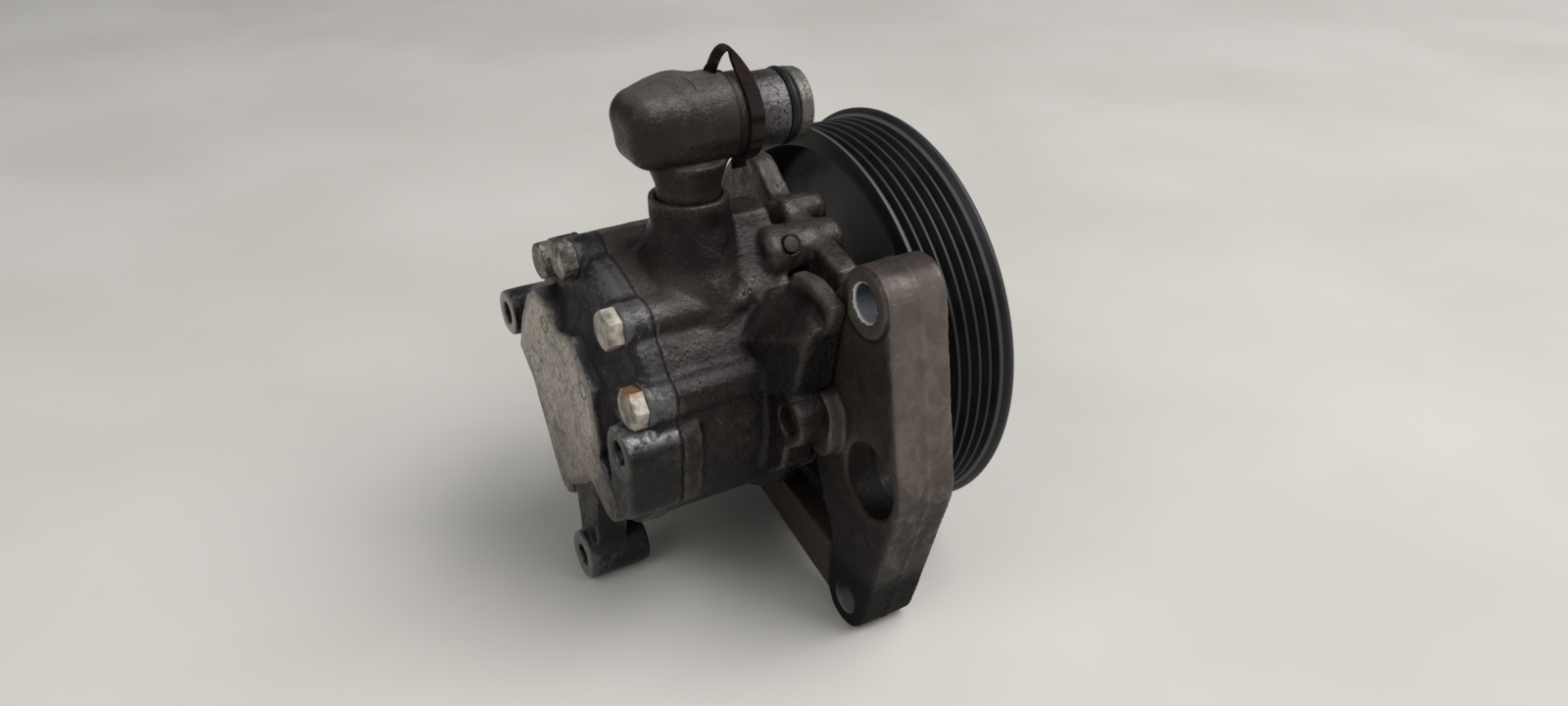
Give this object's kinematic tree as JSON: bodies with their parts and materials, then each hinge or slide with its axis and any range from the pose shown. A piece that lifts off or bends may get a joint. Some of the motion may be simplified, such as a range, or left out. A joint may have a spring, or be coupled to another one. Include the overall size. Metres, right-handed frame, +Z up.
{
  "type": "power steering pump",
  "caption": "Belt-driven vane pump for power steering: ribbed pulley, cast housing with bolted rear cover, side mounting bracket, inlet elbow with clip and seal",
  "frame": {"origin": "on the shaft axis in the mid plane of the belt grooves", "axes": "+X along the shaft towards the open front of the pulley, +Z up as the pump stands on its pulley, bracket foot and rear foot, +Y away from the bracket"},
  "size_m": [0.109, 0.143, 0.1573],
  "materials": {
    "cast_body": "rough oily casting",
    "cast_cover": "worn casting",
    "cast_bracket": "dirty casting",
    "cast_elbow": "dark casting",
    "bolt_steel": "worn zinc",
    "ground_steel": "ground",
    "spring_steel": "oiled",
    "rusty_clip": "rusty",
    "bronze": "machined",
    "black_paint": "satin black",
    "rubber": "smooth"
  },
  "bodies": {
    "body": {"housing": "cast_body", "rear_cover": "cast_cover", "cover_bolts": "bolt_steel", "cover_seal": "rubber", "rear_plate": "ground_steel", "cam_ring": "ground_steel", "front_plate": "ground_steel", "locating_pins": "ground_steel", "front_bush": "bronze", "rear_bush": "bronze", "shaft_seal": "rubber", "valve_spring": "spring_steel", "valve_plug": "bolt_steel", "valve_plug_seal": "rubber", "drill_plug": "bolt_steel", "bracket": "cast_bracket", "bracket_bolts": "bolt_steel", "inlet_elbow": "cast_elbow", "neck_seal": "rubber", "spigot_seal": "rubber", "elbow_clip": "rusty_clip"},
    "rotating_group": {"shaft": "ground_steel", "pulley": "black_paint", "rotor": "ground_steel", "rotor_circlip": "spring_steel"},
    "spool": {"valve_spool": "ground_steel"},
    "vane_01_slider": {"vane_01": "ground_steel"},
    "vane_02_slider": {"vane_02": "ground_steel"},
    "vane_03_slider": {"vane_03": "ground_steel"},
    "vane_04_slider": {"vane_04": "ground_steel"},
    "vane_05_slider": {"vane_05": "ground_steel"},
    "vane_06_slider": {"vane_06": "ground_steel"},
    "vane_07_slider": {"vane_07": "ground_steel"},
    "vane_08_slider": {"vane_08": "ground_steel"},
    "vane_09_slider": {"vane_09": "ground_steel"},
    "vane_10_slider": {"vane_10": "ground_steel"}
  },
  "joints": [
    {"name": "shaft_spin", "type": "hinge", "parent": "body", "child": "rotating_group", "pos_m": [0, 0, 0], "axis": [1, 0, 0], "continuous": true},
    {"name": "spool_slide", "type": "slide", "parent": "body", "child": "spool", "axis": [0, 0, -1], "range_m": [0, 0.006], "stiffness_N_per_m": 800, "springref_m": -0.004, "deforming": ["valve_spring"]},
    {"name": "vane_01_slide", "type": "slide", "parent": "rotating_group", "child": "vane_01_slider", "axis": [0, 1, 0], "range_m": [0, 0.0036]},
    {"name": "vane_02_slide", "type": "slide", "parent": "rotating_group", "child": "vane_02_slider", "axis": [0, 0.809, 0.5878], "range_m": [0, 0.0023]},
    {"name": "vane_03_slide", "type": "slide", "parent": "rotating_group", "child": "vane_03_slider", "axis": [0, 0.309, 0.9511], "range_m": [0, 0.0004]},
    {"name": "vane_04_slide", "type": "slide", "parent": "rotating_group", "child": "vane_04_slider", "axis": [0, -0.309, 0.9511], "range_m": [0, 0.0004]},
    {"name": "vane_05_slide", "type": "slide", "parent": "rotating_group", "child": "vane_05_slider", "axis": [0, -0.809, 0.5878], "range_m": [0, 0.0023]},
    {"name": "vane_06_slide", "type": "slide", "parent": "rotating_group", "child": "vane_06_slider", "axis": [0, -1, 0], "range_m": [0, 0.0036]},
    {"name": "vane_07_slide", "type": "slide", "parent": "rotating_group", "child": "vane_07_slider", "axis": [0, -0.809, -0.5878], "range_m": [0, 0.0023]},
    {"name": "vane_08_slide", "type": "slide", "parent": "rotating_group", "child": "vane_08_slider", "axis": [0, -0.309, -0.9511], "range_m": [0, 0.0004]},
    {"name": "vane_09_slide", "type": "slide", "parent": "rotating_group", "child": "vane_09_slider", "axis": [0, 0.309, -0.9511], "range_m": [0, 0.0004]},
    {"name": "vane_10_slide", "type": "slide", "parent": "rotating_group", "child": "vane_10_slider", "axis": [0, 0.809, -0.5878], "range_m": [0, 0.0023]}
  ]
}
